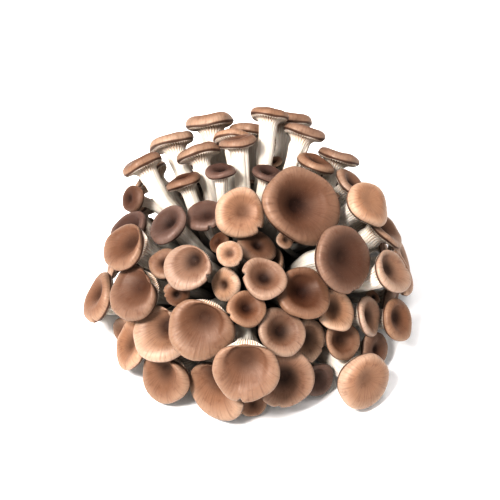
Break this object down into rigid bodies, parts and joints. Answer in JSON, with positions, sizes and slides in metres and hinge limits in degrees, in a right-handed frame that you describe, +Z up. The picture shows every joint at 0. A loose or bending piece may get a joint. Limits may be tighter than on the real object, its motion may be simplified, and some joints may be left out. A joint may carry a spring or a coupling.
{
  "type": "oyster mushroom cluster",
  "caption": "Cluster of oyster mushrooms with dished brown caps and thick cream stems that fan out from one shared base, standing on the cut underside of the base.",
  "frame": {"origin": "middle of the base's flat cut face, at the bottom of the cluster", "axes": "+Z up out of the base, -Y towards the front where the large dished caps are, +X to the right seen from the front"},
  "size_m": [0.1835, 0.1804, 0.1014],
  "materials": {
    "mature_mushroom": "soft satin brown skin on the cap, pale margin, darker middle; matt cream gills and stem",
    "young_mushroom": "soft satin grey-brown skin on the cap; matt cream gills and stem",
    "base": "matt fibrous cream flesh, slightly browned where it was cut"
  },
  "bodies": {
    "root": {"base": "base", "front_mushroom_01": "mature_mushroom", "front_mushroom_02": "mature_mushroom", "front_mushroom_03": "mature_mushroom", "front_mushroom_04": "mature_mushroom", "front_mushroom_05": "mature_mushroom", "front_mushroom_06": "young_mushroom", "front_mushroom_07": "mature_mushroom", "front_mushroom_08": "mature_mushroom", "front_mushroom_09": "mature_mushroom", "front_mushroom_10": "mature_mushroom", "front_mushroom_11": "mature_mushroom", "front_mushroom_12": "mature_mushroom", "front_mushroom_13": "mature_mushroom", "front_mushroom_14": "mature_mushroom", "front_mushroom_15": "mature_mushroom", "front_mushroom_16": "mature_mushroom", "front_mushroom_17": "mature_mushroom", "front_mushroom_18": "mature_mushroom", "front_mushroom_19": "mature_mushroom", "right_mushroom_01": "mature_mushroom", "right_mushroom_02": "mature_mushroom", "right_mushroom_03": "mature_mushroom", "right_mushroom_04": "mature_mushroom", "right_mushroom_05": "mature_mushroom", "left_mushroom_01": "mature_mushroom", "left_mushroom_02": "young_mushroom", "left_mushroom_03": "mature_mushroom", "left_mushroom_04": "mature_mushroom", "left_mushroom_05": "mature_mushroom", "crown_mushroom_01": "mature_mushroom", "crown_mushroom_02": "mature_mushroom", "crown_mushroom_03": "mature_mushroom", "crown_mushroom_04": "mature_mushroom", "crown_mushroom_05": "young_mushroom", "crown_mushroom_06": "mature_mushroom", "crown_mushroom_07": "young_mushroom", "back_mushroom_01": "young_mushroom", "back_mushroom_02": "young_mushroom", "back_mushroom_03": "mature_mushroom", "back_mushroom_04": "mature_mushroom", "back_mushroom_05": "mature_mushroom", "back_mushroom_06": "mature_mushroom", "back_mushroom_07": "mature_mushroom", "back_mushroom_08": "mature_mushroom", "back_mushroom_09": "mature_mushroom", "back_mushroom_10": "mature_mushroom", "back_mushroom_11": "mature_mushroom", "back_mushroom_12": "mature_mushroom", "back_mushroom_13": "mature_mushroom", "back_mushroom_14": "mature_mushroom", "back_mushroom_15": "mature_mushroom", "back_mushroom_16": "mature_mushroom", "back_mushroom_17": "mature_mushroom", "back_mushroom_18": "mature_mushroom", "back_mushroom_19": "mature_mushroom", "back_mushroom_20": "mature_mushroom", "back_mushroom_21": "mature_mushroom", "back_mushroom_22": "mature_mushroom", "back_mushroom_23": "mature_mushroom"}
  },
  "joints": []
}
